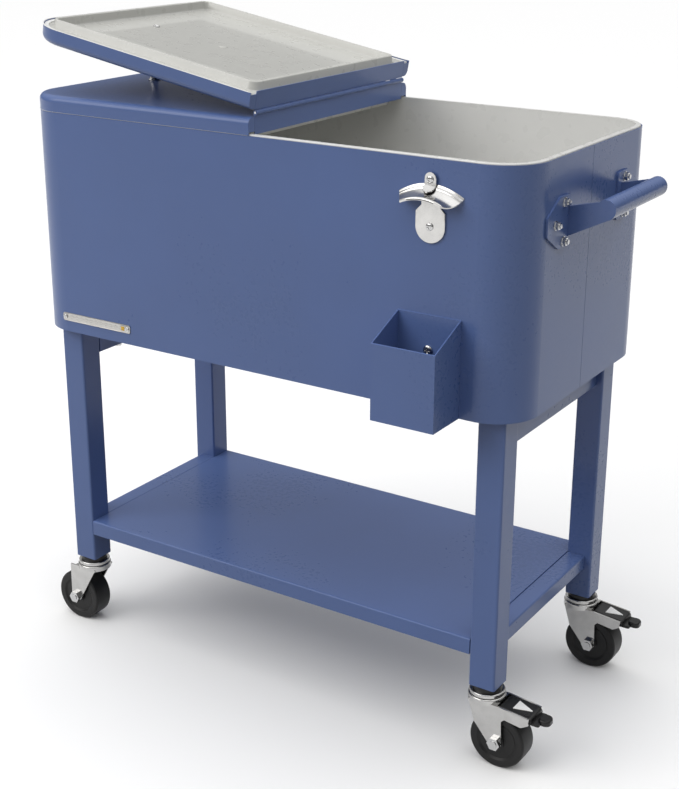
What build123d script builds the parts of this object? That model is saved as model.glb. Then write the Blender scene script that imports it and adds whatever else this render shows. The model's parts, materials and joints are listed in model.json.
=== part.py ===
from build123d import *
import math
import os

os.makedirs("parts", exist_ok=True)

# A rolling patio cooler cart. Lengths in millimetres, floor at z = 0, +Z up.
# The cart is drawn about the middle of its tub, then placed so that the
# frame's origin is the middle of the whole cart's footprint.

# tub
tubLength = 784.0
tubDepth = 393.0
tubBottom = 495.5
tubTop = 812.5
tubCorner = 60.0
skinThick = 1.2
fitGap = 0.3
baseThick = 1.5
linerThick = 1.2
linerFloor = 523.5
linerInset = 9.0
linerCorner = 50.0
linerTaper = 2.9
lipHeight = 1.8
lipInset = 1.8
seamY = -9.0

# frame
legX = 366.5
legY = 172.0
legSize = 38.0
legWall = 1.8
legBottom = 114.0
legRound = 3.0
railWide = 27.5
upperRailBottom = 445.5
lowerRailBottom = 158.7
shelfTop = 181.3
shelfThick = 1.5

# lids
pinX = 3.0
pinZ = 840.2
pinRadius = 1.5
barrelRadius = 3.2
endGap = 0.75
lidTop = 835.5
lidBottom = 816.5
gasketBottom = 814.5
skirtBottom = 813.3
lidWall = 1.0
lidRound = 9.0
returnWide = 13.5
plugHalf = 174.5
plugStart = 9.5
plugEndInset = 22.5
plugBottom = 805.4
plugCorner = 15.0
plugDraft = 2.5
rimWide = 4.5
dishInsetX = 47.0
dishHalf = 106.0
floorHigh = 820.7
restAngle = 170.0
knobReach = 318.0
knobHeight = 32.2

# handle
handleZ = 731.0
gripX = 443.0
gripZ = 751.0
gripRadius = 12.6
gripHalf = 80.0
armThick = 4.0
flangeThick = 3.0

# drain, on the left end
spoutOut = 20.0
capWall = 2.5
capLong = 16.0

# fittings on the front
frontY = -tubDepth / 2
openerX = 269.2
catcherX = 270.3
catcherWide = 88.5
catcherDeep = 64.0
catcherBottom = 495.6
catcherBack = 622.0
catcherFront = 594.5
sheet = 1.5
plateX = -274.0
plateZ = 518.0
plateLong = 126.0
plateHigh = 12.0

# casters
wheelRadius = 40.0
wheelWide = 32.0
wheelTrail = 24.0
axleRadius = 5.0
forkInner = 17.7
forkThick = 2.5
crownBottom = 92.5
crownTop = 95.0
ringTop = 101.0
raceBottom = 101.3
raceTop = 107.3
swivelX = legX - legSize / 2
swivelY = legY - legSize / 2

# the cart's footprint, and the shift that centres it on the origin
reachRight = gripX + gripRadius
reachLeft = max(swivelX + wheelTrail + wheelRadius, tubLength / 2 + spoutOut + capWall)
reachFront = -frontY + catcherDeep
reachBack = tubDepth / 2
cartX = (reachLeft - reachRight) / 2
cartY = (reachFront - reachBack) / 2
place = Location((cartX, cartY, 0))


def save(piece, name):
    """Label one finished piece, set it down in the cart's own frame and write it."""
    placed = piece.moved(place)
    placed.label = name
    export_step(placed, "parts/" + name + ".step")


def front_plane(y):
    """A plane facing the viewer at depth y, x to the right and z up."""
    return Plane(origin=(0, y, 0), x_dir=(1, 0, 0), z_dir=(0, -1, 0))


def end_plane(x):
    """A plane facing +X at x, y to the right and z up."""
    return Plane(origin=(x, 0, 0), x_dir=(0, 1, 0), z_dir=(1, 0, 0))


# ---------------------------------------------------------------- tub

drainZ = 538.0
drainHole = 11.2

seamWide = 0.8
seamDeep = 0.6

with BuildPart() as tub_skin:
    with BuildSketch(Plane.XY.offset(tubBottom)):
        RectangleRounded(tubLength, tubDepth, tubCorner)
        RectangleRounded(tubLength - 2 * skinThick, tubDepth - 2 * skinThick,
                         tubCorner - skinThick, mode=Mode.SUBTRACT)
    extrude(amount=tubTop - tubBottom)
    with BuildSketch(end_plane(-tubLength / 2 - 1)):
        with Locations((0, drainZ)):
            Circle(drainHole)
    extrude(amount=3 + skinThick, mode=Mode.SUBTRACT)
    with BuildSketch(end_plane(tubLength / 2 - seamDeep)):
        with Locations((seamY, (tubBottom + tubTop) / 2)):
            Rectangle(seamWide, tubTop - tubBottom + 2)
    extrude(amount=seamDeep + 1, mode=Mode.SUBTRACT)
save(tub_skin.part, "tub_skin")

with BuildPart() as tub_base:
    with BuildSketch(Plane.XY.offset(tubBottom)):
        inset = skinThick + fitGap
        RectangleRounded(tubLength - 2 * inset, tubDepth - 2 * inset, tubCorner - inset)
    extrude(amount=baseThick)
save(tub_base.part, "tub_base")


def liner_form(inset, floor):
    """The tapering body of the inner tub, from the rim down to a floor height."""
    drop = tubTop - floor
    with BuildPart() as form:
        with BuildSketch(Plane.XY.offset(tubTop)):
            RectangleRounded(tubLength - 2 * inset, tubDepth - 2 * inset,
                             linerCorner - (inset - linerInset))
        extrude(amount=-drop, taper=linerTaper)
        fillet(form.faces().sort_by(Axis.Z)[0].edges(), radius=14)
    return form.part


linerOuter = liner_form(linerInset - linerThick, linerFloor - linerThick)
linerInner = liner_form(linerInset, linerFloor)
linerPocket = liner_form(linerInset - linerThick - fitGap, linerFloor - linerThick - fitGap)

with BuildPart() as tub_liner:
    add(linerOuter)
    with BuildSketch(Plane.XY.offset(tubTop)):
        RectangleRounded(tubLength - 2 * lipInset, tubDepth - 2 * lipInset, tubCorner - lipInset)
    extrude(amount=lipHeight)
    fillet(tub_liner.faces().sort_by(Axis.Z)[-1].outer_wire().edges(), radius=1.4)
    add(linerInner, mode=Mode.SUBTRACT)
    with BuildSketch(Plane.XY.offset(tubTop - 1)):
        RectangleRounded(tubLength - 2 * linerInset, tubDepth - 2 * linerInset, linerCorner)
    extrude(amount=lipHeight + 2, mode=Mode.SUBTRACT)
    with BuildSketch(end_plane(-tubLength / 2)):
        with Locations((0, drainZ)):
            Circle(drainHole)
    extrude(amount=60, mode=Mode.SUBTRACT)
save(tub_liner.part, "tub_liner")

# The foam is poured in one go, but drawn as boards, corners and a slab so
# that every piece is a plain shape standing beside its neighbours.
foamInset = skinThick + fitGap
foamLow = tubBottom + baseThick + fitGap
foamHigh = tubTop - fitGap
slabTop = linerFloor - linerThick - fitGap
cornerCut = 84.0

with BuildPart() as foam_body:
    with BuildSketch(Plane.XY.offset(foamLow)):
        RectangleRounded(tubLength - 2 * foamInset, tubDepth - 2 * foamInset, tubCorner - foamInset)
    extrude(amount=foamHigh - foamLow)
    add(linerPocket, mode=Mode.SUBTRACT)
    with BuildSketch(end_plane(-tubLength / 2)):
        with Locations((0, drainZ)):
            Circle(drainHole + fitGap)
    extrude(amount=60, mode=Mode.SUBTRACT)

boardZ = (foamHigh + slabTop) / 2
boardHigh = foamHigh - slabTop
halfX = tubLength / 2
halfY = tubDepth / 2
foam_cells = [(0, -halfY, 2 * (halfX - cornerCut), 2 * cornerCut),
              (0, halfY, 2 * (halfX - cornerCut), 2 * cornerCut),
              (-halfX, 0, 2 * cornerCut, 2 * (halfY - cornerCut)),
              (halfX, 0, 2 * cornerCut, 2 * (halfY - cornerCut)),
              (-halfX, -halfY, 2 * cornerCut, 2 * cornerCut),
              (halfX, -halfY, 2 * cornerCut, 2 * cornerCut),
              (-halfX, halfY, 2 * cornerCut, 2 * cornerCut),
              (halfX, halfY, 2 * cornerCut, 2 * cornerCut)]

with BuildPart() as tub_foam:
    for x, y, wide, deep in foam_cells:
        cell = Pos(x, y, boardZ + 0.1) * Box(wide - 0.2, deep - 0.2, boardHigh - 0.2, mode=Mode.PRIVATE)
        add(cell & foam_body.part)
    slabHigh = slabTop - foamLow
    slab = Pos(0, 0, foamLow + slabHigh / 2) * Box(tubLength, tubDepth, slabHigh, mode=Mode.PRIVATE)
    add(slab & foam_body.part)
save(tub_foam.part, "tub_foam")

# ---------------------------------------------------------------- drain

nutThick = 5.0
spoutRadius = drainHole - 0.2
spoutBore = 7.5
spoutLow = tubLength / 2 + spoutOut
spoutLong = spoutOut + 34.0

with BuildPart() as drain_spout:
    with BuildSketch(end_plane(-spoutLow)):
        with Locations((0, drainZ)):
            Circle(spoutRadius)
            Circle(spoutBore, mode=Mode.SUBTRACT)
    extrude(amount=spoutLong)
save(drain_spout.part, "drain_spout")

with BuildPart() as drain_nut:
    with BuildSketch(end_plane(-tubLength / 2 - nutThick)):
        with Locations((0, drainZ)):
            RegularPolygon(19, 6)
            Circle(spoutRadius + 0.1, mode=Mode.SUBTRACT)
    extrude(amount=nutThick)
    chamfer(drain_nut.faces().sort_by(Axis.X)[0].outer_wire().edges(), length=0.8)
save(drain_nut.part, "drain_nut")

with BuildPart() as drain_cap:
    capOuter = spoutRadius + 0.1 + capWall
    with BuildSketch(end_plane(-spoutLow - capWall)):
        with Locations((0, drainZ)):
            Circle(capOuter)
    extrude(amount=capLong)
    fillet(drain_cap.faces().sort_by(Axis.X)[0].edges(), radius=1.5)
    with BuildSketch(end_plane(-spoutLow - 0.3)):
        with Locations((0, drainZ)):
            Circle(spoutRadius + 0.1)
    extrude(amount=capLong, mode=Mode.SUBTRACT)
    with BuildSketch(end_plane(-spoutLow - capWall + 2)):
        with Locations((0, drainZ)):
            with PolarLocations(capOuter + 0.5, 16):
                Circle(1.4)
    extrude(amount=capLong, mode=Mode.SUBTRACT)
save(drain_cap.part, "drain_cap")

# ---------------------------------------------------------------- frame

boltRadius = 4.0
boltHeadHigh = 5.3


def square_tube(sizeX, sizeY, wall, low, high, x, y):
    """An upright square tube with softened edges."""
    with BuildPart() as tube:
        with BuildSketch(Plane.XY.offset(low)):
            with Locations((x, y)):
                RectangleRounded(sizeX, sizeY, legRound)
                RectangleRounded(sizeX - 2 * wall, sizeY - 2 * wall, legRound - wall, mode=Mode.SUBTRACT)
        extrude(amount=high - low)
        with BuildSketch(Plane.XY.offset(high - 3)):
            with Locations((x, y)):
                Rectangle(sizeX - 1.5 * wall, sizeY - 1.5 * wall)
        extrude(amount=3)
    return tube.part


def end_rail(x, low, high, wall):
    """A box rail running front to back between two legs."""
    length = 2 * (legY - legSize) - 0.2
    with BuildPart() as rail:
        with BuildSketch(Plane.XZ.offset(-length / 2)):
            with Locations((x, (low + high) / 2)):
                RectangleRounded(railWide, high - low, 2.6)
                RectangleRounded(railWide - 2 * wall, high - low - 2 * wall, 1.0, mode=Mode.SUBTRACT)
        extrude(amount=length)
    return rail.part


railX = legX - legSize + railWide / 2
upperHole = [(side * railX, y) for side in (-1, 1) for y in (-80, 80)]

for name, side, face in (("front_left", -1, -1), ("front_right", 1, -1),
                         ("back_left", -1, 1), ("back_right", 1, 1)):
    leg = square_tube(legSize, legSize, legWall, legBottom, tubBottom - 0.1,
                      side * swivelX, face * swivelY)
    save(leg, "leg_" + name)

for name, side in (("left", -1), ("right", 1)):
    with BuildPart() as upper_rail:
        add(end_rail(side * railX, upperRailBottom, tubBottom - 0.1, legWall))
        with BuildSketch(Plane.XY.offset(upperRailBottom - 1)):
            with Locations((side * railX, -80), (side * railX, 80)):
                Circle(boltRadius + 0.3)
        extrude(amount=tubBottom - upperRailBottom + 2, mode=Mode.SUBTRACT)
    save(upper_rail.part, "upper_rail_" + name)
    with BuildPart() as lower_rail:
        add(end_rail(side * railX, lowerRailBottom, shelfTop, legWall))
    save(lower_rail.part, "lower_rail_" + name)

with BuildPart() as shelf:
    shelfHalf = legX - legSize - 0.3
    with BuildSketch(Plane.XY.offset(lowerRailBottom)):
        Rectangle(2 * shelfHalf, 2 * legY)
    extrude(amount=shelfTop - lowerRailBottom)
    fillet(shelf.edges().filter_by(Axis.X).sort_by(Axis.Z)[-2:], radius=2.6)
    with BuildSketch(Plane.XY.offset(lowerRailBottom)):
        Rectangle(2 * shelfHalf - 2 * shelfThick, 2 * legY - 2 * shelfThick)
    extrude(amount=shelfTop - lowerRailBottom - shelfThick, mode=Mode.SUBTRACT)
    with BuildSketch(Plane.XY.offset(lowerRailBottom)):
        with Locations((-150, 0), (150, 0)):
            Rectangle(30, 2 * legY - 2 * shelfThick)
    extrude(amount=14)
save(shelf.part, "shelf")

with BuildPart() as frame_bolts:
    with BuildSketch(Plane.XY.offset(upperRailBottom - boltHeadHigh)):
        with Locations(*upperHole):
            RegularPolygon(7.5, 6)
    extrude(amount=boltHeadHigh - 0.1)
    with BuildSketch(Plane.XY.offset(upperRailBottom - 1)):
        with Locations(*upperHole):
            Circle(boltRadius)
    extrude(amount=tubBottom - upperRailBottom + 0.9)
save(frame_bolts.part, "frame_bolts")

# ---------------------------------------------------------------- handle

flangeMiddle = -3.5
flangeZ = handleZ + 2.5
flangeBolts = [(93.0, flangeZ - 24), (93.0, flangeZ + 24), (116.0, flangeZ)]


def handle_bracket(face):
    """A bolted end plate with an arm that carries one end of the grip."""
    with BuildPart() as bracket:
        with BuildSketch(end_plane(tubLength / 2 + 0.1)) as flange:
            with BuildLine():
                inner = flangeMiddle + face * 73
                bend = flangeMiddle + face * 104
                outer = flangeMiddle + face * 137.5
                Polyline((inner, flangeZ - 32), (bend, flangeZ - 32), (outer, flangeZ - 12),
                         (outer, flangeZ + 12), (bend, flangeZ + 32), (inner, flangeZ + 32), close=True)
            make_face()
            fillet(flange.vertices(), radius=6)
            with Locations(*[(flangeMiddle + face * y, z) for y, z in flangeBolts]):
                Circle(3.3, mode=Mode.SUBTRACT)
        extrude(amount=flangeThick)
        with BuildSketch(front_plane(-(gripHalf + 0.1) if face < 0 else gripHalf + 0.1 + armThick)):
            with BuildLine():
                rootX = tubLength / 2 + flangeThick - 0.5
                Polyline((rootX, 713), (gripX + 4.5, gripZ - gripRadius + 0.9),
                         (gripX + 4.5, gripZ + gripRadius - 0.9), (rootX, 750), close=True)
            make_face()
            with Locations((gripX, gripZ)):
                Circle(gripRadius)
        extrude(amount=armThick)
    return bracket.part


save(handle_bracket(-1), "handle_bracket_front")
save(handle_bracket(1), "handle_bracket_back")

with BuildPart() as handle_grip:
    with BuildSketch(front_plane(gripHalf)):
        with Locations((gripX, gripZ)):
            Circle(gripRadius)
            Circle(gripRadius - 1.8, mode=Mode.SUBTRACT)
    extrude(amount=2 * gripHalf)
save(handle_grip.part, "handle_grip")

with BuildPart() as handle_bolts:
    spots = [(flangeMiddle + face * y, z) for face in (-1, 1) for y, z in flangeBolts]
    with BuildSketch(end_plane(tubLength / 2 + flangeThick + 0.2)):
        with Locations(*spots):
            Circle(6.0)
    extrude(amount=1.2)
    with BuildSketch(end_plane(tubLength / 2 + flangeThick + 1.4)):
        with Locations(*spots):
            RegularPolygon(5.4, 6)
    extrude(amount=4.2)
    with BuildSketch(end_plane(tubLength / 2 + 0.1)):
        with Locations(*spots):
            Circle(3.0)
    extrude(amount=flangeThick + 8)
save(handle_bolts.part, "handle_bolts")

# ---------------------------------------------------------------- bottle opener

openerPlate = 3.0


def arc_band(y, halfChord, tipZ, rise, thick):
    """A curved band seen from the front, as a face at depth y."""
    with BuildSketch(front_plane(y)) as band:
        with BuildLine():
            top = ThreePointArc((openerX - halfChord, tipZ), (openerX, tipZ + rise),
                                (openerX + halfChord, tipZ))
            Line(top @ 1, (openerX + halfChord - 0.8, tipZ - thick))
            ThreePointArc((openerX + halfChord - 0.8, tipZ - thick), (openerX, tipZ + rise - thick),
                          (openerX - halfChord + 0.8, tipZ - thick))
            Line((openerX - halfChord + 0.8, tipZ - thick), top @ 0)
        make_face()
    return band.sketch


with BuildPart() as opener_body:
    with BuildSketch(front_plane(frontY - 0.1)):
        with BuildLine():
            Polyline((openerX - 20.2, 731), (openerX - 20.2, 749), (openerX - 14, 756), (openerX - 8, 789))
            ThreePointArc((openerX - 8, 789), (openerX, 797), (openerX + 8, 789))
            Polyline((openerX + 8, 789), (openerX + 14, 756), (openerX + 20.2, 749), (openerX + 20.2, 731))
            ThreePointArc((openerX + 20.2, 731), (openerX, 710.8), (openerX - 20.2, 731))
        make_face()
    extrude(amount=openerPlate)
    wall_band = arc_band(frontY - 0.6, 44.3, 769.0, 13.0, 3.6)
    lip_band = arc_band(frontY - 29.0, 25.6, 763.0, 6.0, 3.6)
    loft(sections=[wall_band.faces()[0], lip_band.faces()[0]])
    with BuildSketch(front_plane(frontY - 2)):
        with Locations((openerX, 757)):
            Rectangle(16, 5)
    extrude(amount=10)
    with BuildSketch(front_plane(frontY)):
        with Locations((openerX, 731), (openerX, 788)):
            Circle(2.3)
    extrude(amount=8, mode=Mode.SUBTRACT)
save(opener_body.part, "opener_body")

with BuildPart() as opener_screws:
    with BuildSketch(front_plane(frontY - openerPlate - 0.2)):
        with Locations((openerX, 731), (openerX, 788)):
            Circle(4.6)
    extrude(amount=2.4)
    fillet(opener_screws.faces().sort_by(Axis.Y)[0:2].edges(), radius=1.6)
    with BuildSketch(front_plane(frontY - 0.1)):
        with Locations((openerX, 731), (openerX, 788)):
            Circle(2.0)
    extrude(amount=openerPlate + 0.5)
save(opener_screws.part, "opener_screws")

# ---------------------------------------------------------------- cap catcher

with BuildPart() as cap_catcher:
    backY = frontY - 0.1
    lowY = frontY - catcherDeep
    with BuildSketch(end_plane(catcherX - catcherWide / 2)):
        with BuildLine():
            Polyline((backY, catcherBottom), (lowY, catcherBottom), (lowY, catcherFront),
                     (backY, catcherBack), close=True)
        make_face()
    extrude(amount=catcherWide)
    with BuildSketch(end_plane(catcherX - catcherWide / 2 + sheet)):
        with BuildLine():
            Polyline((backY - sheet, catcherBottom + sheet), (lowY + sheet, catcherBottom + sheet),
                     (lowY + sheet, catcherFront + 40), (backY - sheet, catcherBack + 40), close=True)
        make_face()
    extrude(amount=catcherWide - 2 * sheet, mode=Mode.SUBTRACT)
    with BuildSketch(front_plane(frontY)):
        with Locations((catcherX, 576.6), (catcherX, 530)):
            Circle(3.3)
    extrude(amount=sheet + 1, mode=Mode.SUBTRACT)
save(cap_catcher.part, "cap_catcher")

with BuildPart() as catcher_bolts:
    with BuildSketch(front_plane(frontY - sheet - 0.2)):
        with Locations((catcherX, 576.6), (catcherX, 530)):
            Circle(6.4)
    extrude(amount=3.4)
    fillet(catcher_bolts.faces().sort_by(Axis.Y)[0:2].edges(), radius=1.8)
    with BuildSketch(front_plane(frontY - 0.1)):
        with Locations((catcherX, 576.6), (catcherX, 530)):
            Circle(3.0)
    extrude(amount=sheet + 0.5)
save(catcher_bolts.part, "catcher_bolts")

# ---------------------------------------------------------------- trim plate

plateScrews = [(plateX - plateLong / 2 + 4.5, plateZ), (plateX + plateLong / 2 - 4.5, plateZ)]

with BuildPart() as trim_plate:
    with BuildSketch(front_plane(frontY - 0.1)):
        with Locations((plateX, plateZ)):
            RectangleRounded(plateLong, plateHigh, 2.5)
        with Locations(*plateScrews):
            Circle(1.5, mode=Mode.SUBTRACT)
    extrude(amount=1.6)
save(trim_plate.part, "trim_plate")

with BuildPart() as trim_screws:
    with BuildSketch(front_plane(frontY - 1.8)):
        with Locations(*plateScrews):
            Circle(3.1)
    extrude(amount=1.3)
    with BuildSketch(front_plane(frontY - 0.1)):
        with Locations(*plateScrews):
            Circle(1.3)
    extrude(amount=2)
save(trim_screws.part, "trim_screws")

# ---------------------------------------------------------------- lids
# Each lid is drawn closed, reaching out along +x from a hinge pin at the
# origin, with z measured from the pin's axis.

topZ = lidTop - pinZ
skinLow = lidBottom - pinZ
sealLow = gasketBottom - pinZ
skirtLow = skirtBottom - pinZ
plugLow = plugBottom - pinZ
floorZ = floorHigh - pinZ
flangeTop = skinLow + 1.6
footInset = plugDraft + rimWide + 2.0


def lid_outline(length, inset, start):
    """The plan of a lid: square at the hinge, rounded at the free end."""
    half = tubDepth / 2 - inset
    corner = tubCorner - inset
    end = length - inset
    with BuildSketch() as plan:
        with Locations(((start + end) / 2, 0)):
            Rectangle(end - start, 2 * half)
        fillet(plan.vertices().group_by(Axis.X)[-1], radius=corner)
    return plan.sketch


def lid_form(length, inset, start, low, high, softness):
    """A lid-shaped block whose top edge is rounded except at the hinge."""
    with BuildPart() as form:
        with BuildSketch(Plane.XY.offset(low)):
            add(lid_outline(length, inset, start))
        extrude(amount=high - low)
        if softness > 0:
            rim = form.faces().sort_by(Axis.Z)[-1].edges()
            soft = [edge for edge in rim if edge.center().X > start + 0.5]
            fillet(soft, radius=softness)
    return form.part


def lid_skin(length):
    """The painted steel shell of a lid, open below and across the hinge leaf."""
    with BuildPart() as skin:
        add(lid_form(length, 0, endGap, skirtLow, topZ, lidRound))
        add(lid_form(length, lidWall, endGap + lidWall, skirtLow, topZ - lidWall, lidRound - lidWall),
            mode=Mode.SUBTRACT)
        with BuildSketch(Plane.XY.offset(skirtLow)):
            with Locations((endGap + 0.3, 0)):
                Rectangle(2.6, tubDepth - 2 * returnWide)
        extrude(amount=topZ + 1 - skirtLow, mode=Mode.SUBTRACT)
        with BuildSketch(Plane.XY.offset(skirtLow)):
            with Locations((endGap, 0)):
                Rectangle(4 * lidWall, tubDepth - 2 * lidWall)
        extrude(amount=skinLow - skirtLow, mode=Mode.SUBTRACT)
        with BuildSketch(Plane.XY.offset(topZ - 3)):
            with Locations((knobReach, 0)):
                Circle(3.2)
        extrude(amount=6, mode=Mode.SUBTRACT)
    return skin.part


def plug_outline(length, inset):
    """The plan of the raised rim on a lid's inner face."""
    end = length - plugEndInset
    with BuildSketch() as plan:
        with Locations(((plugStart + end) / 2, 0)):
            RectangleRounded(end - plugStart - 2 * inset, 2 * (plugHalf - inset),
                             max(plugCorner - inset, 3.0))
    return plan.sketch


def dish_outline(length):
    """The plan of the flat floor inside the rim."""
    end = length - plugEndInset
    with BuildSketch() as plan:
        with Locations(((plugStart + end) / 2, 0)):
            RectangleRounded(end - plugStart - 2 * dishInsetX, 2 * dishHalf, 6.0)
    return plan.sketch


def lid_liner(length):
    """The moulded inner face of a lid: flange, raised rim and dished floor."""
    wallFoot = skinLow + 1.2
    with BuildPart() as liner:
        with BuildSketch(Plane.XY.offset(skinLow)):
            add(lid_outline(length, lidWall + fitGap, endGap + 1.5))
        extrude(amount=flangeTop - skinLow)
        with BuildSketch(Plane.XY.offset(plugLow)):
            add(plug_outline(length, plugDraft))
        with BuildSketch(Plane.XY.offset(skinLow + 0.2)):
            add(plug_outline(length, 0))
        loft()
        fillet(liner.faces().sort_by(Axis.Z)[0].edges(), radius=1.2)
        with BuildSketch(Plane.XY.offset(skinLow)):
            add(plug_outline(length, 0))
        extrude(amount=floorZ + 1.5 - skinLow)
        with BuildSketch(Plane.XY.offset(plugLow - 0.01)):
            add(plug_outline(length, plugDraft + rimWide))
        with BuildSketch(Plane.XY.offset(wallFoot)):
            add(plug_outline(length, footInset))
        loft(mode=Mode.SUBTRACT)
        with BuildSketch(Plane.XY.offset(wallFoot - 0.01)):
            add(plug_outline(length, footInset))
        with BuildSketch(Plane.XY.offset(floorZ)):
            add(dish_outline(length))
        loft(mode=Mode.SUBTRACT)
        with BuildSketch(Plane.XY.offset(floorZ - 4)):
            with Locations((knobReach, 0)):
                Circle(6.5)
        extrude(amount=4, mode=Mode.SUBTRACT)
        with BuildSketch(Plane.XY.offset(floorZ - 4)):
            with Locations((knobReach, 0)):
                Circle(3.2)
        extrude(amount=8, mode=Mode.SUBTRACT)
    return liner.part


def lid_foam(length):
    """The insulation between a lid's skin and its inner face."""
    with BuildPart() as foam:
        inset = lidWall + fitGap
        add(lid_form(length, inset, endGap + 2.2, flangeTop + 0.1, topZ - lidWall - fitGap,
                     lidRound - inset))
        with BuildSketch(Plane.XY.offset(flangeTop)):
            add(plug_outline(length, -fitGap))
        extrude(amount=floorZ + 1.5 + fitGap - flangeTop, mode=Mode.SUBTRACT)
        with BuildSketch(Plane.XY.offset(topZ - 30)):
            with Locations((knobReach, 0)):
                Circle(3.4)
        extrude(amount=40, mode=Mode.SUBTRACT)
    return foam.part


def lid_gasket(length):
    """The seal along the front, the free end and the back."""
    with BuildPart() as gasket:
        with BuildSketch(Plane.XY.offset(sealLow)):
            add(lid_outline(length, 1.6, endGap + 1.5))
            add(lid_outline(length, 7.6, endGap), mode=Mode.SUBTRACT)
        extrude(amount=skinLow - sealLow)
    return gasket.part


def lid_knob():
    """A turned mushroom knob standing on the lid."""
    with BuildPart() as knob:
        with BuildSketch(Plane.XZ):
            with BuildLine():
                base = topZ + 0.1
                top = topZ + knobHeight
                Polyline((0, base), (9.0, base), (9.0, base + 1.8), (6.0, base + 4.0),
                         (5.2, base + 12.0), (6.6, top - 11.0), (13.6, top - 8.2), (15.0, top - 6.0),
                         (14.6, top - 4.2))
                ThreePointArc((14.6, top - 4.2), (9.0, top - 1.1), (3.0, top))
                Polyline((3.0, top), (0, top), (0, base))
            make_face()
        revolve(axis=Axis.Z)
        with BuildSketch(Plane.XY.offset(base - 1)):
            Circle(2.0)
        extrude(amount=16, mode=Mode.SUBTRACT)
    return Pos(knobReach, 0, 0) * knob.part


def knob_screw():
    """The screw that holds a knob, with its head on the lid's inner face."""
    with BuildPart() as screw:
        with BuildSketch(Plane.XY.offset(floorZ - 2.4)):
            with Locations((knobReach, 0)):
                Circle(4.8)
        extrude(amount=2.3)
        fillet(screw.faces().sort_by(Axis.Z)[0].edges(), radius=1.5)
        with BuildSketch(Plane.XY.offset(floorZ - 0.2)):
            with Locations((knobReach, 0)):
                Circle(1.9)
        extrude(amount=topZ + 14 - floorZ)
    return screw.part


knuckleCount = 23
leafTop = -(barrelRadius + 0.4)
leafLow = skirtLow - 0.8
knucklePitch = 2 * (tubDepth / 2 - returnWide - 0.4) / knuckleCount


def hinge_leaf(first):
    """One leaf of the long hinge, with every second knuckle starting at first."""
    leafHalf = tubDepth / 2 - returnWide - 0.4
    with BuildPart() as leaf:
        with BuildSketch(end_plane(endGap)):
            with Locations((0, (leafTop + leafLow) / 2)):
                Rectangle(2 * leafHalf, leafTop - leafLow)
        extrude(amount=1.2)
        for index in range(first, knuckleCount, 2):
            middle = -leafHalf + knucklePitch * (index + 0.5)
            with BuildSketch(front_plane(middle + knucklePitch / 2 - 0.2)):
                with BuildLine():
                    Polyline((endGap, leafTop - 1), (endGap + 1.2, leafTop - 1), (endGap + 1.9, -0.5),
                             (0.2, 0.8), (endGap, -1.8), close=True)
                make_face()
                Circle(barrelRadius)
                Circle(pinRadius + 0.08, mode=Mode.SUBTRACT)
            extrude(amount=knucklePitch - 0.4)
    return leaf.part


closed_right = Location((pinX, 0, pinZ))
folded_right = closed_right * Rotation(0, -restAngle, 0)
rightLength = tubLength / 2 - pinX
leftLength = tubLength / 2 + pinX


def lid_pieces(length, first):
    """Every piece of one lid by name."""
    return {"skin": lid_skin(length), "foam": lid_foam(length), "liner": lid_liner(length),
            "gasket": lid_gasket(length), "knob": lid_knob(), "knob_screw": knob_screw(),
            "hinge_leaf": hinge_leaf(first)}


for name, piece in lid_pieces(leftLength, 0).items():
    save(piece.mirror(Plane.YZ).moved(closed_right), "lid_left_" + name)

for name, piece in lid_pieces(rightLength, 1).items():
    save(piece.moved(folded_right), "lid_right_" + name)

with BuildPart() as hinge_pin:
    with BuildSketch(front_plane(tubDepth / 2 - returnWide - 0.2)):
        with Locations((pinX, pinZ)):
            Circle(pinRadius)
    extrude(amount=tubDepth - 2 * returnWide - 0.4)
save(hinge_pin.part, "hinge_pin")

# ---------------------------------------------------------------- casters
# Each caster is drawn with its swivel axis at the origin and its wheel
# trailing along +x, then turned and set under its leg.

insertHigh = 26.0
legSpots = [(side * swivelX, face * swivelY) for side in (-1, 1) for face in (-1, 1)]

with BuildPart() as leg_inserts:
    with BuildSketch(Plane.XY.offset(raceTop)):
        with Locations(*legSpots):
            Circle(20)
            Circle(6.2, mode=Mode.SUBTRACT)
    extrude(amount=legBottom - 0.1 - raceTop)
    with BuildSketch(Plane.XY.offset(legBottom - 0.3)):
        with Locations(*legSpots):
            Rectangle(legSize - 2 * legWall - 0.8, legSize - 2 * legWall - 0.8)
            Circle(6.2, mode=Mode.SUBTRACT)
    extrude(amount=insertHigh)
save(leg_inserts.part, "leg_inserts")

with BuildPart() as caster_races:
    with BuildSketch(Plane.XY.offset(raceBottom)):
        with Locations(*legSpots):
            Circle(24.0)
    extrude(amount=raceTop - raceBottom - 0.1)
    fillet(caster_races.edges().filter_by(GeomType.CIRCLE), radius=1.6)
    with BuildSketch(Plane.XY.offset(crownBottom - 3.2)):
        with Locations(*legSpots):
            Circle(6.0)
    extrude(amount=legBottom + insertHigh - crownBottom)
    with BuildSketch(Plane.XY.offset(crownBottom - 3.2)):
        with Locations(*legSpots):
            Circle(9.0)
    extrude(amount=2.9)
save(caster_races.part, "caster_races")

brakedSide = [(-18, crownTop), (-8, 62.5), (12, 38), (24, 31), (33, 38), (31.5, 74)]
plainSide = [(-18, crownTop), (10.5, 46), (15, 36), (24, 31), (33.5, 37)]
plainEnd = [(32.5, crownTop)]
brakeEnd = [(36, 78.5), (60, 75), (70, 81), (71, 90.4), (26, crownTop)]


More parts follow.
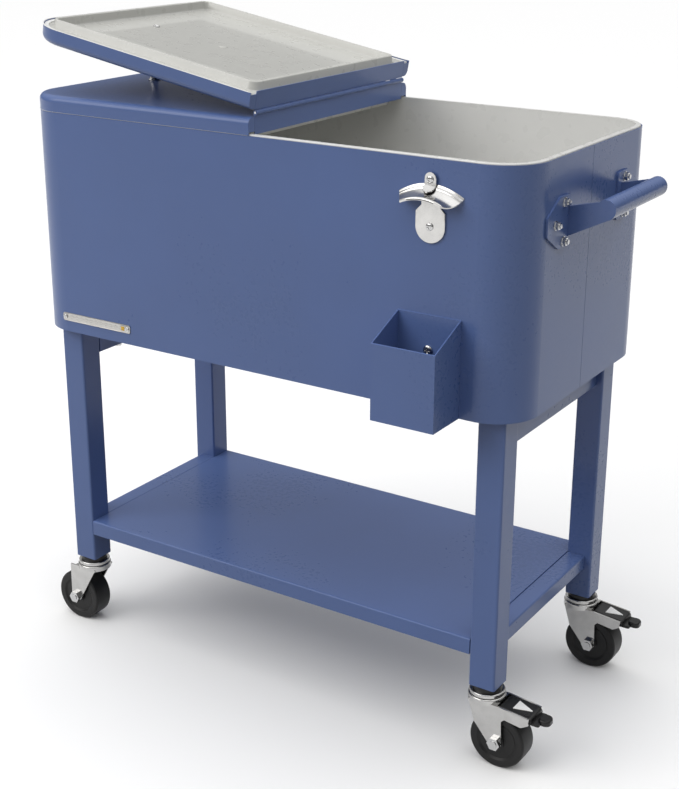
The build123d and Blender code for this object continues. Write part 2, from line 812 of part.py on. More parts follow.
def caster_fork(braked):
    """The pressed fork: crown, bearing ring and two side plates."""
    outline = brakedSide + brakeEnd if braked else plainSide + plainEnd
    with BuildPart() as fork:
        for face in (forkInner + forkThick, -forkInner):
            with BuildSketch(front_plane(face)):
                with BuildLine():
                    Polyline(*outline, close=True)
                make_face()
                with Locations((wheelTrail, wheelRadius)):
                    Circle(axleRadius + 0.05, mode=Mode.SUBTRACT)
            extrude(amount=forkThick)
        with BuildSketch(Plane.XY.offset(crownBottom)):
            with Locations((3, 0)):
                Rectangle(42, 2 * (forkInner + forkThick))
            Circle(25.5)
            Circle(6.1, mode=Mode.SUBTRACT)
        extrude(amount=crownTop - crownBottom)
        with BuildSketch(Plane.XY.offset(crownTop)):
            Circle(25.5)
            Circle(6.1, mode=Mode.SUBTRACT)
        extrude(amount=ringTop - crownTop)
        fillet(fork.faces().sort_by(Axis.Z)[-1].outer_wire().edges(), radius=2.0)
    return fork.part


nutRadius = 9.4
nutHigh = 6.0


def caster_axle():
    """The wheel bolt with its head, nut and domed end."""
    reach = forkInner + forkThick + 0.1
    with BuildPart() as axle:
        with BuildSketch(front_plane(reach + nutHigh + 1)):
            with Locations((wheelTrail, wheelRadius)):
                Circle(axleRadius)
        extrude(amount=2 * (reach + nutHigh + 1))
        for face in (reach + nutHigh, -reach):
            with BuildSketch(front_plane(face)):
                with Locations((wheelTrail, wheelRadius)):
                    RegularPolygon(nutRadius, 6)
            extrude(amount=nutHigh)
    return axle.part


def caster_wheel():
    """A solid wheel with softened treads, a shallow dished face and a hub."""
    half = wheelWide / 2
    with BuildPart() as wheel:
        with BuildSketch(Plane.XZ):
            with BuildLine():
                Polyline((axleRadius + 0.08, half + 1.2), (11, half + 1.2), (11, half - 1.5),
                         (26, half - 2.2), (29, half), (wheelRadius - 3.5, half))
                ThreePointArc((wheelRadius - 3.5, half), (wheelRadius - 0.9, half - 1.3),
                              (wheelRadius - 0.3, half - 4))
                ThreePointArc((wheelRadius - 0.3, half - 4), (wheelRadius, 0),
                              (wheelRadius - 0.3, 4 - half))
                ThreePointArc((wheelRadius - 0.3, 4 - half), (wheelRadius - 0.9, 1.3 - half),
                              (wheelRadius - 3.5, -half))
                Polyline((wheelRadius - 3.5, -half), (29, -half), (26, 2.2 - half), (11, 1.5 - half),
                         (11, -half - 1.2), (axleRadius + 0.08, -half - 1.2),
                         (axleRadius + 0.08, half + 1.2))
            make_face()
        revolve(axis=Axis.Z)
    return Pos(wheelTrail, 0, wheelRadius) * Rotation(90, 0, 0) * wheel.part


def brake_plate():
    """The dark cover over the brake arms, with a raised press mark."""
    with BuildPart() as plate:
        with BuildSketch(front_plane(forkInner - 0.4)):
            with BuildLine():
                Polyline((27, 91.5), (73, 87.0), (73.5, 90.6), (27, 95.6), close=True)
            make_face()
        extrude(amount=2 * (forkInner - 0.4))
        with BuildSketch(front_plane(5)):
            with BuildLine():
                Polyline((46, 91), (64, 90), (64, 92.2), (50, 97.0), (46, 95.6), close=True)
            make_face()
        extrude(amount=10)
    return plate.part


def brake_pedal():
    """The foot lever: a flat tongue with a rounded pad, turning on a cross pin."""
    with BuildPart() as pedal:
        with BuildSketch(Plane.XY.offset(80.5)):
            with Locations((68, 0)):
                RectangleRounded(30, 30, 3)
            with Locations((84, 0)):
                RectangleRounded(20, 16, 6)
        extrude(amount=4.2)
        with BuildSketch(Plane.XY.offset(81.5)):
            with Locations((86, 0)):
                RectangleRounded(17, 20, 7.5)
        extrude(amount=7.5)
        fillet(pedal.faces().sort_by(Axis.Z)[-1].edges(), radius=3)
        with BuildSketch(front_plane(forkInner - 0.3)):
            with Locations((62, 83)):
                Circle(3.4)
        extrude(amount=2 * (forkInner - 0.3))
    return pedal.part


casters = {"front_left": (-swivelX, -swivelY, 180, False), "back_left": (-swivelX, swivelY, 180, False),
           "front_right": (swivelX, -swivelY, 0, True), "back_right": (swivelX, swivelY, 0, True)}

for name, (x, y, turn, braked) in casters.items():
    spot = Location((x, y, 0), (0, 0, turn))
    save(caster_fork(braked).moved(spot), "caster_fork_" + name)
    save(caster_axle().moved(spot), "caster_axle_" + name)
    save(caster_wheel().moved(spot), "caster_wheel_" + name)
    if braked:
        save(brake_plate().moved(spot), "brake_plate_" + name)
        save(brake_pedal().moved(spot), "brake_pedal_" + name)
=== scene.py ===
import math
import bpy
import bmesh
import numpy as np
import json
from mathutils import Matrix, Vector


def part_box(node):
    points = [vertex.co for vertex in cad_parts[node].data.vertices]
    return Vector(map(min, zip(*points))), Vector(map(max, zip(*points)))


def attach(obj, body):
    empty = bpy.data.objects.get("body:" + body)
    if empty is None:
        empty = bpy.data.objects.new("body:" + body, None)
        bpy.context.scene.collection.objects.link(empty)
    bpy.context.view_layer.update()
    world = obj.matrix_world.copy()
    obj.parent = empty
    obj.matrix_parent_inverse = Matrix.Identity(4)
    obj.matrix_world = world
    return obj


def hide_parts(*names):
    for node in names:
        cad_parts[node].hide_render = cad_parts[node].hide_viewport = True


print("loading the cart's frame")
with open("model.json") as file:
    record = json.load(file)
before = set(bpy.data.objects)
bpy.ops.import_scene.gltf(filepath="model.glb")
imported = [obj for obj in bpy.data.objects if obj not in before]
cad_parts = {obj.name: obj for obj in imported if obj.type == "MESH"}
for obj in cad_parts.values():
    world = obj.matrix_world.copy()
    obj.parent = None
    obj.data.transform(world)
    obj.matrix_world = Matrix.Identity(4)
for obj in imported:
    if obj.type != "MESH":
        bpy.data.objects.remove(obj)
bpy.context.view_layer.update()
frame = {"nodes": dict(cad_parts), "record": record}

# ---- view, floor and studio light

cameraPlace = {
    "position": (1.05815, -1.61551, 1.12972),
    "turnDegrees": (70.7028, -0.1723, 32.8145),
    "lensMm": 65.12,
    "shiftX": -0.00413,
    "shiftY": -0.03028,
}


def makeCamera(settings):
    data = bpy.data.cameras.new("camera")
    data.lens = settings["lensMm"]
    data.sensor_width = 36
    data.shift_x = settings["shiftX"]
    data.shift_y = settings["shiftY"]
    data.clip_end = 60
    camera = bpy.data.objects.new("camera", data)
    camera.location = settings["position"]
    camera.rotation_euler = [math.radians(angle) for angle in settings["turnDegrees"]]
    bpy.context.scene.collection.objects.link(camera)
    bpy.context.scene.camera = camera


makeCamera(cameraPlace)

lights = {
    # name: (position, aimed at, size x, size y, watts, colour)
    "frontLeftSoft": ((-2.4, -3.6, 3.1), (0.0, 0.0, 0.6), 4.0, 2.4, 100, (1.0, 0.985, 0.965)),
}


def makeLights(settings):
    for name, (position, target, sizeX, sizeY, power, colour) in settings.items():
        data = bpy.data.lights.new(name, "AREA")
        data.shape = "RECTANGLE"
        data.size = sizeX
        data.size_y = sizeY
        data.energy = power
        data.color = colour
        light = bpy.data.objects.new(name, data)
        light.location = position
        aim = Vector(target) - Vector(position)
        light.rotation_mode = "QUATERNION"
        light.rotation_quaternion = aim.to_track_quat("-Z", "Y")
        bpy.context.scene.collection.objects.link(light)


makeLights(lights)

studio = {
    "horizonGlow": 0.05,
    "zenithGlow": 1.85,
    "glowCurve": 1.6,
    "belowGlow": 0.16,
    "backdropGlow": 1.0,
    "floorHalf": 40.0,
    "floorColour": (0.95, 0.95, 0.95),
}


def makeWorld(settings):
    # an overcast studio: dim at the horizon, bright overhead, and a plain white backdrop behind it all
    world = bpy.data.worlds.new("studio")
    world.use_nodes = True
    tree = world.node_tree
    direction = tree.nodes.new("ShaderNodeTexCoord").outputs["Generated"]
    parts = tree.nodes.new("ShaderNodeSeparateXYZ")
    tree.links.new(direction, parts.inputs[0])
    rise = tree.nodes.new("ShaderNodeMapRange")
    curve = tree.nodes.new("ShaderNodeMath")
    curve.operation = "POWER"
    curve.inputs[1].default_value = settings["glowCurve"]
    tree.links.new(parts.outputs["Z"], curve.inputs[0])
    tree.links.new(curve.outputs[0], rise.inputs["Value"])
    rise.inputs["To Min"].default_value = settings["horizonGlow"]
    rise.inputs["To Max"].default_value = settings["zenithGlow"]
    above = tree.nodes.new("ShaderNodeMath")
    above.operation = "GREATER_THAN"
    above.inputs[1].default_value = 0.0
    tree.links.new(parts.outputs["Z"], above.inputs[0])
    glow = tree.nodes.new("ShaderNodeMix")
    glow.inputs[2].default_value = settings["belowGlow"]
    tree.links.new(above.outputs[0], glow.inputs[0])
    tree.links.new(rise.outputs["Result"], glow.inputs[3])
    seen = tree.nodes.new("ShaderNodeMix")
    seen.inputs[3].default_value = settings["backdropGlow"]
    tree.links.new(tree.nodes.new("ShaderNodeLightPath").outputs["Is Camera Ray"], seen.inputs[0])
    tree.links.new(glow.outputs[0], seen.inputs[2])
    tree.links.new(seen.outputs[0], tree.nodes["Background"].inputs["Strength"])
    tree.nodes["Background"].inputs["Color"].default_value = (1, 1, 1, 1)
    bpy.context.scene.world = world


def makeFloor(settings):
    half = settings["floorHalf"]
    mesh = bpy.data.meshes.new("floor")
    corners = [(-half, -half, 0), (half, -half, 0), (half, half, 0), (-half, half, 0)]
    mesh.from_pydata(corners, [], [(0, 1, 2, 3)])
    floor = bpy.data.objects.new("floor", mesh)
    bpy.context.scene.collection.objects.link(floor)
    paint = bpy.data.materials.new("floorPaint")
    paint.use_nodes = True
    shader = paint.node_tree.nodes["Principled BSDF"]
    shader.inputs["Base Color"].default_value = (*settings["floorColour"], 1)
    shader.inputs["Roughness"].default_value = 0.9
    shader.inputs["Specular IOR Level"].default_value = 0.05
    floor.data.materials.append(paint)
    floor.visible_diffuse = False


bpy.context.scene.view_settings.view_transform = "Standard"
makeWorld(studio)
makeFloor(studio)

# ---- materials


def node(tree, kind, inputs=None, **values):
    made = tree.nodes.new(kind)
    for key, value in values.items():
        setattr(made, key, value)
    for key, value in (inputs or {}).items():
        if hasattr(value, "links"):
            tree.links.new(value, made.inputs[key])
        else:
            made.inputs[key].default_value = value
    return made


def placedCoordinates(tree, scale=(1, 1, 1)):
    place = node(tree, "ShaderNodeTexCoord").outputs["Object"]
    if scale == (1, 1, 1):
        return place
    return node(tree, "ShaderNodeMapping", {"Vector": place, "Scale": scale}).outputs["Vector"]


def noise(tree, size, detail=2.0, scale=(1, 1, 1)):
    # soft random field whose lumps are about size metres across
    made = node(tree, "ShaderNodeTexNoise", {"Vector": placedCoordinates(tree, scale), "Scale": 1 / size,
                                             "Detail": detail})
    return made.outputs["Fac"]


def spread(tree, value, low, high, toLow, toHigh):
    # value from low to high is carried to toLow to toHigh
    made = node(tree, "ShaderNodeMapRange", {"Value": value, "From Min": low, "From Max": high,
                                              "To Min": toLow, "To Max": toHigh})
    return made.outputs["Result"]


def mixColours(tree, factor, first, second):
    made = node(tree, "ShaderNodeMix", {0: factor}, data_type="RGBA")
    for key, value in ((6, first), (7, second)):
        if hasattr(value, "links"):
            tree.links.new(value, made.inputs[key])
        else:
            made.inputs[key].default_value = (*value, 1)
    return made.outputs[2]


def bump(tree, height, depth, before=None):
    inputs = {"Height": height, "Distance": depth, "Strength": 1.0}
    if before is not None:
        inputs["Normal"] = before
    return node(tree, "ShaderNodeBump", inputs).outputs["Normal"]


def startMaterial(name, sockets):
    made = bpy.data.materials.new(name)
    made.use_nodes = True
    tree = made.node_tree
    shader = tree.nodes["Principled BSDF"]
    for key, value in sockets.items():
        shader.inputs[key].default_value = value
    return made, tree, shader


def powderCoat(name, colour):
    made, tree, shader = startMaterial(name, {"Metallic": 0.0, "IOR": 1.45, "Specular IOR Level": 0.4,
                                              "Coat Weight": 0.08, "Coat Roughness": 0.12})
    broad = noise(tree, 0.22, 3.0)
    fine = noise(tree, 0.006, 2.0)
    deep = tuple(channel * 0.93 for channel in colour)
    pale = tuple(channel * 1.05 for channel in colour)
    tint = mixColours(tree, spread(tree, broad, 0.3, 0.7, 0.0, 1.0), deep, pale)
    tree.links.new(tint, shader.inputs["Base Color"])
    gloss = node(tree, "ShaderNodeMath", {0: spread(tree, broad, 0.3, 0.7, 0.27, 0.33),
                                          1: spread(tree, fine, 0.3, 0.7, -0.02, 0.02)}, operation="ADD")
    tree.links.new(gloss.outputs[0], shader.inputs["Roughness"])
    peel = bump(tree, noise(tree, 0.0045, 1.0), 0.000006)
    peel = bump(tree, noise(tree, 0.09, 1.0), 0.00025, peel)
    tree.links.new(peel, shader.inputs["Normal"])
    return made


def mouldedPlastic(name, colour, gloss, grain, grainDepth, paintedShadeName=None):
    # paintedShadeName is a point attribute that is 1 where the colour is darkened a little as painted shade
    made, tree, shader = startMaterial(name, {"IOR": 1.49, "Coat Weight": 0.15, "Coat Roughness": 0.12})
    broad = noise(tree, 0.13, 3.0)
    tint = mixColours(tree, spread(tree, broad, 0.3, 0.7, 0.0, 1.0), tuple(c * 0.96 for c in colour),
                      tuple(min(1, c * 1.02) for c in colour))
    if paintedShadeName:
        shade = node(tree, "ShaderNodeAttribute", attribute_name=paintedShadeName).outputs["Fac"]
        # where the attribute is 1 the colour drops to 0.84 of itself: painted shade, not a different grain
        tint = mixColours(tree, shade, tint, tuple(c * 0.84 for c in colour))
    tree.links.new(tint, shader.inputs["Base Color"])
    dull = spread(tree, noise(tree, 0.02, 2.0), 0.3, 0.7, gloss - 0.05, gloss + 0.05)
    tree.links.new(dull, shader.inputs["Roughness"])
    tree.links.new(bump(tree, noise(tree, grain, 2.0), grainDepth), shader.inputs["Normal"])
    return made


def platedMetal(name, colour, gloss, ripple):
    made, tree, shader = startMaterial(name, {"Metallic": 1.0})
    haze = noise(tree, 0.012, 3.0)
    tint = mixColours(tree, spread(tree, haze, 0.35, 0.7, 0.0, 1.0), colour, tuple(c * 0.9 for c in colour))
    tree.links.new(tint, shader.inputs["Base Color"])
    dull = spread(tree, noise(tree, 0.004, 3.0), 0.3, 0.75, gloss, gloss + 0.1)
    tree.links.new(dull, shader.inputs["Roughness"])
    tree.links.new(bump(tree, noise(tree, 0.006, 1.0), ripple), shader.inputs["Normal"])
    return made


def brushedMetal(name, colour, gloss, along):
    made, tree, shader = startMaterial(name, {"Metallic": 1.0})
    stretch = tuple(0.02 if axis == along else 1.0 for axis in range(3))
    streaks = noise(tree, 0.0005, 3.0, stretch)
    deep = tuple(c * 0.82 for c in colour)
    tint = mixColours(tree, spread(tree, streaks, 0.3, 0.7, 0.0, 1.0), deep, colour)
    tree.links.new(tint, shader.inputs["Base Color"])
    tree.links.new(spread(tree, streaks, 0.3, 0.7, gloss, gloss + 0.16), shader.inputs["Roughness"])
    tree.links.new(bump(tree, streaks, 0.00002), shader.inputs["Normal"])
    return made


def darkRubber(name, colour, gloss, dust):
    made, tree, shader = startMaterial(name, {"IOR": 1.45, "Specular IOR Level": 0.4})
    patches = noise(tree, 0.03, 4.0)
    tint = mixColours(tree, spread(tree, patches, 0.45, 0.75, 0.0, dust), colour, (0.16, 0.15, 0.14))
    tree.links.new(tint, shader.inputs["Base Color"])
    tree.links.new(spread(tree, patches, 0.3, 0.7, gloss, gloss + 0.15), shader.inputs["Roughness"])
    tree.links.new(bump(tree, noise(tree, 0.0009, 2.0), 0.00004), shader.inputs["Normal"])
    return made


def pouredFoam(name, colour):
    made, tree, shader = startMaterial(name, {"Roughness": 0.9})
    pores = node(tree, "ShaderNodeTexVoronoi", {"Vector": placedCoordinates(tree), "Scale": 900.0})
    cells = pores.outputs["Distance"]
    tint = mixColours(tree, cells, tuple(c * 0.8 for c in colour), colour)
    tree.links.new(tint, shader.inputs["Base Color"])
    tree.links.new(bump(tree, cells, 0.0002), shader.inputs["Normal"])
    return made


print("mixing the finishes")
finishes = {
    "blue_paint": powderCoat("bluePowderCoat", (0.098, 0.156, 0.358)),
    # the tub liner is a lighter copy of the lid pans' plastic (0.72 against 0.55): painted light, brightening
    # the liner that sits in the tub's shade
    "liner_plastic": mouldedPlastic("paleLiner", (0.72, 0.72, 0.70), 0.30, 0.006, 0.000004),
    "foam_core": pouredFoam("pouredFoam", (0.80, 0.72, 0.50)),
    "seal_rubber": mouldedPlastic("whiteSeal", (0.80, 0.80, 0.79), 0.5, 0.0012, 0.00004),
    "bright_chrome": platedMetal("brightChrome", (0.52, 0.515, 0.505), 0.13, 0.00002),
    "zinc_bolt": platedMetal("zincPlate", (0.56, 0.56, 0.56), 0.16, 0.00002),
    "trim_metal": brushedMetal("brushedTrim", (0.50, 0.49, 0.47), 0.24, 0),
    "drain_white": mouldedPlastic("drainPlastic", (0.78, 0.78, 0.76), 0.35, 0.002, 0.00003),
    "wheel_rubber": darkRubber("blackTread", (0.007, 0.007, 0.0075), 0.36, 0.04),
    "black_plastic": darkRubber("blackPlastic", (0.009, 0.009, 0.0095), 0.22, 0.02),
}

for entry in frame["record"]["subparts"]:
    shown = frame["nodes"][entry["node"]]
    shown.data.materials.clear()
    shown.data.materials.append(finishes[entry["material_slot"]])

# ---- shapes that every new piece is built from


def addPiece(name, points, faces, finish, body, slotName, smoothAngle=35):
    # points in metres and faces as index rows become one finished object on its moving body
    mesh = bpy.data.meshes.new(name)
    mesh.from_pydata(np.asarray(points, float).tolist(), [], [list(face) for face in faces])
    mesh.validate()
    work = bmesh.new()
    work.from_mesh(mesh)
    bmesh.ops.remove_doubles(work, verts=work.verts, dist=1e-6)
    bmesh.ops.recalc_face_normals(work, faces=work.faces)
    work.to_mesh(mesh)
    work.free()
    mesh.shade_smooth()
    mesh.set_sharp_from_angle(angle=math.radians(smoothAngle))
    made = bpy.data.objects.new(name, mesh)
    bpy.context.scene.collection.objects.link(made)
    made.data.materials.append(finish)
    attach(made, body)
    return made


def gridFaces(rows, columns, start=0, wrap=False):
    # quads between neighbouring rows of a rows x columns grid; wrap joins the last column to the first
    row = np.arange(rows - 1)[:, None]
    column = np.arange(columns if wrap else columns - 1)[None, :]
    after = (column + 1) % columns
    quads = np.stack([row * columns + column, row * columns + after,
                      (row + 1) * columns + after, (row + 1) * columns + column], -1)
    return (quads.reshape(-1, 4) + start).tolist()


def closedRings(rings):
    # rings (n, m, 3) joined into a tube, with a flat face over the first and the last ring
    count, size = rings.shape[:2]
    faces = gridFaces(count, size, wrap=True)
    faces.append(list(range(size)))
    faces.append(list(range((count - 1) * size, count * size)))
    return rings.reshape(-1, 3), faces


def joinParts(parts):
    # several (points, faces) pairs as one
    points, faces, start = [], [], 0
    for partPoints, partFaces in parts:
        points.append(partPoints)
        faces += [[index + start for index in face] for face in partFaces]
        start += len(partPoints)
    return np.concatenate(points), faces


def insetOutline(outline, amount):
    # each point of a closed outline moves inward along its own normal by amount
    ahead = np.roll(outline, -1, 0) - np.roll(outline, 1, 0)
    normal = np.stack([-ahead[:, 1], ahead[:, 0]], -1)
    normal /= np.linalg.norm(normal, axis=1, keepdims=True)
    return outline + normal * amount


def roundedSlab(outline, thick, soft, place, steps=5):
    # rings of the outline climb the side, then turn in over a quarter circle of radius soft
    angle = np.linspace(0, np.pi / 2, steps)
    heights = np.concatenate([[0.0], thick - soft + soft * np.sin(angle)])
    insets = np.concatenate([[0.0], soft * (1 - np.cos(angle))])
    rings = np.stack([place(insetOutline(outline, inset), height) for inset, height in zip(insets, heights)])
    return closedRings(rings)


def roundedBox(halfLong, halfHigh, corner, steps=6):
    # counter-clockwise outline of a rectangle whose corners are quarter circles
    turn = np.linspace(0, np.pi / 2, steps)
    parts = []
    for quarter, (signX, signZ) in enumerate([(1, 1), (-1, 1), (-1, -1), (1, -1)]):
        angle = turn + quarter * np.pi / 2
        parts.append(np.stack([signX * (halfLong - corner) + corner * np.cos(angle),
                               signZ * (halfHigh - corner) + corner * np.sin(angle)], -1))
    return np.concatenate(parts)


def frontPlace(middleX, wallY, middleZ):
    # an outline seen from the front, standing out from a wall that faces -Y
    def place(outline, height):
        out = np.full(len(outline), wallY - height)
        return np.stack([middleX + outline[:, 0], out, middleZ + outline[:, 1]], -1)
    return place


screwRecess = {
    "domeFlatness": 0.8,
    "slotLong": 0.60,
    "slotWide": 0.15,
    "slotDeep": 0.55,
    "slotEdge": 1.15,
    "slotSlope": 0.3,
}


def crossHead(radius, height, place, rings=16, spokes=72):
    # dome of height h(r) = H sqrt(1 - 0.8 r^2), cut by two crossed slots that are deepest in the middle
    long, wide = screwRecess["slotLong"], screwRecess["slotWide"]
    reach = np.linspace(0, 1, rings)[:, None]
    angle = np.linspace(0, 2 * np.pi, spokes, endpoint=False)[None, :]
    x, z = reach * np.cos(angle), reach * np.sin(angle)
    dome = height * np.sqrt(1 - screwRecess["domeFlatness"] * reach ** 2) * np.ones_like(angle)
    arm = np.minimum(np.maximum(abs(x) / long, abs(z) / wide), np.maximum(abs(z) / long, abs(x) / wide))
    cut = np.clip((screwRecess["slotEdge"] - arm) / screwRecess["slotSlope"], 0, 1)
    dome = dome - screwRecess["slotDeep"] * height * cut
    outlines = np.stack([x, z], -1) * radius
    layers = [place(outlines[index], dome[index]) for index in range(1, rings)]
    layers.append(place(outlines[-1], np.zeros(spokes)))
    tip = place(np.zeros((1, 2)), dome[0][:1])
    points = np.concatenate([tip] + layers)
    faces = [[0, 1 + column, 1 + (column + 1) % spokes] for column in range(spokes)]
    faces += gridFaces(rings, spokes, 1, wrap=True)
    faces.append(list(range(1 + (rings - 1) * spokes, 1 + rings * spokes)))
    return points, faces


# ---- bottle opener

print("pressing the bottle opener")
openerLow, openerHigh = (np.array(corner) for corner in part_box("opener_body"))

opener = {
    "plateRadius": 0.0202,
    "plateThick": 0.0028,
    "shoulderHigh": 0.018,
    "neckHalf": 0.0125,
    "neckStart": 0.026,
    "neckEnd": 0.046,
    "strapHalf": 0.0078,
    "strapThick": 0.0016,
    "strapReach": (0.10, 0.44),
    "strapBend": 0.003,
    "strapLift": 0.0018,
    "strapSteps": 14,
    "hoodHalf": 0.0443,
    "hoodTip": 0.0582,
    "hoodRise": 0.0130,
    "lipHalf": 0.0272,
    "lipTip": 0.0525,
    "lipRise": 0.0060,
    "hoodDeep": 0.0288,
    "hoodSheet": 0.0015,
    "hoodSag": 0.0045,
    "beadHigh": 0.0019,
    # ridges along the hood: (place from wall to lip, width, height)
    "beads": ((0.035, 0.030, 1.0), (0.150, 0.030, 0.9), (0.955, 0.040, 1.2)),
    "screwRadius": 0.0047,
    "screwHigh": 0.0024,
    # each screw: (distance from the wall, distance below the strap's top)
    "screws": ((0.0029, 0.0659), (0.0042, 0.0090)),
}


def hoodPoint(settings, across, out):
    # straight lines from the wall arc to the lip arc, z = tip + rise (1 - u^2) on both,
    # hollowed between them by sag sin(pi v)
    half = settings["hoodHalf"] * (1 - out) + settings["lipHalf"] * out
    tip = settings["hoodTip"] * (1 - out) + settings["lipTip"] * out
    rise = settings["hoodRise"] * (1 - out) + settings["lipRise"] * out
    height = tip + rise * (1 - across ** 2) - settings["hoodSag"] * np.sin(np.pi * out)
    return half * across, settings["hoodDeep"] * out, height


def hoodBead(settings, out):
    # two rolled ridges by the wall and one along the lip, each a bell curve h exp(-((v - c) / w)^2)
    return sum(high * np.exp(-((out - middle) / wide) ** 2) for middle, wide, high in settings["beads"])


def makeHood(settings, middleX, wallY, lowZ):
    across = np.linspace(-1, 1, 73)[:, None]
    out = np.linspace(0, 1, 64)[None, :]
    x, y, z = hoodPoint(settings, across, out)
    x, y, z = np.broadcast_arrays(x, y, z)
    bead = settings["beadHigh"] * hoodBead(settings, out)
    top = np.stack([x + middleX, wallY - y, z + lowZ + bead], -1)
    under = np.stack([x * 0.985 + middleX, wallY - y, z + lowZ - settings["hoodSheet"]], -1)
    return closedRings(np.concatenate([top, under[:, ::-1]], 1))


def makeStrap(settings, middleX, wallY, topZ, lowZ):
    # a strip that runs down the wall and then forward over the hood, with half-round ends
    steps = settings["strapSteps"]
    bendZ = lowZ + settings["hoodTip"] + settings["hoodRise"] + settings["strapBend"]
    down = np.linspace(topZ, bendZ, steps)
    _, hoodY, hoodZ = hoodPoint(settings, 0.0, np.linspace(*settings["strapReach"], steps))
    pathY = np.concatenate([np.full(steps, wallY - settings["plateThick"]), wallY - hoodY - 0.0002])
    pathZ = np.concatenate([down, hoodZ + lowZ + settings["strapLift"]])
    length = np.concatenate([[0], np.cumsum(np.hypot(np.diff(pathY), np.diff(pathZ)))])
    half = settings["strapHalf"]
    end = np.minimum(length, length[-1] - length)
    wide = np.sqrt(np.clip(half ** 2 - (half - np.minimum(end, half)) ** 2, (0.12 * half) ** 2, None))
    slopeY, slopeZ = np.gradient(pathY), np.gradient(pathZ)
    size = np.hypot(slopeY, slopeZ)
    liftY, liftZ = slopeZ / size, -slopeY / size
    edge = np.array([(-1, 0), (-1, 0.7), (-0.94, 1), (0.94, 1), (1, 0.7), (1, 0)])
    lift = edge[None, :, 1] * settings["strapThick"]
    rings = np.stack([middleX + edge[None, :, 0] * wide[:, None], pathY[:, None] + liftY[:, None] * lift,
                      pathZ[:, None] + liftZ[:, None] * lift], -1)
    return closedRings(rings)


def makeOpener(settings, low, high):
    middleX, wallY = (low[0] + high[0]) / 2, high[1]
    radius, neck = settings["plateRadius"], settings["neckHalf"]
    turn = np.linspace(np.pi, 2 * np.pi, 40)
    disc = np.stack([radius * np.cos(turn), radius * np.sin(turn)], -1)
    shoulder, start, end = settings["shoulderHigh"], settings["neckStart"], settings["neckEnd"]
    shoulders = np.array([(radius, shoulder), (neck, start), (neck, end),
                          (-neck, end), (-neck, start), (-radius, shoulder)])
    outline = np.concatenate([disc, shoulders])
    place = frontPlace(middleX, wallY, low[2] + radius)
    plate = roundedSlab(outline, settings["plateThick"], 0.0009, place)
    hood = makeHood(settings, middleX, wallY, low[2])
    strap = makeStrap(settings, middleX, wallY, high[2], low[2])
    points, faces = joinParts([plate, hood, strap])
    made = addPiece("openerPressing", points, faces, finishes["bright_chrome"], "cart", "bright_chrome")
    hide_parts("opener_body")
    heads = [crossHead(settings["screwRadius"], settings["screwHigh"],
                       frontPlace(middleX, wallY - rest, high[2] - drop))
             for rest, drop in settings["screws"]]
    points, faces = joinParts(heads)
    screws = addPiece("openerScrewHeads", points, faces, finishes["zinc_bolt"], "cart", "zinc_bolt")
    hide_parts("opener_screws")


makeOpener(opener, openerLow, openerHigh)

# ---- screws of the catcher and the trim plate

print("driving the screws")
smallScrews = {
    # node: (head radius, head height)
    "catcher_bolts": (0.0062, 0.0032),
    "trim_screws": (0.0032, 0.0013),
}


def makeWallScrews(node, radius, high):
    # the node holds two screws at its ends, one above or beside the other
    low, top = (np.array(corner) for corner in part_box(node))
    face = low[1] + high
    ends = [(low[0] + radius, low[2] + radius), (top[0] - radius, top[2] - radius)]
    points, faces = joinParts([crossHead(radius, high, frontPlace(x, face, z)) for x, z in ends])
    made = addPiece(node + "Heads", points, faces, finishes["zinc_bolt"], "cart", "zinc_bolt")
    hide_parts(node)


for screwNode, (headRadius, headHigh) in smallScrews.items():
    makeWallScrews(screwNode, headRadius, headHigh)

# ---- trim plate

print("embossing the trim plate")
trim = {
    "thick": 0.0013,
    "corner": 0.0025,
    "relief": 0.00028,
    "clear": 0.00006,
    "motifPitch": 0.0092,
    "motifHalf": 0.0044,
    "patternEnd": 0.0500,
    "squarePlace": 0.0500,
    "squareHalf": 0.0030,
    "screwRoom": 0.0105,
    "patternGap": 0.003,
    "edgeGap": 0.0008,
    "rimRamp": 0.0006,
}


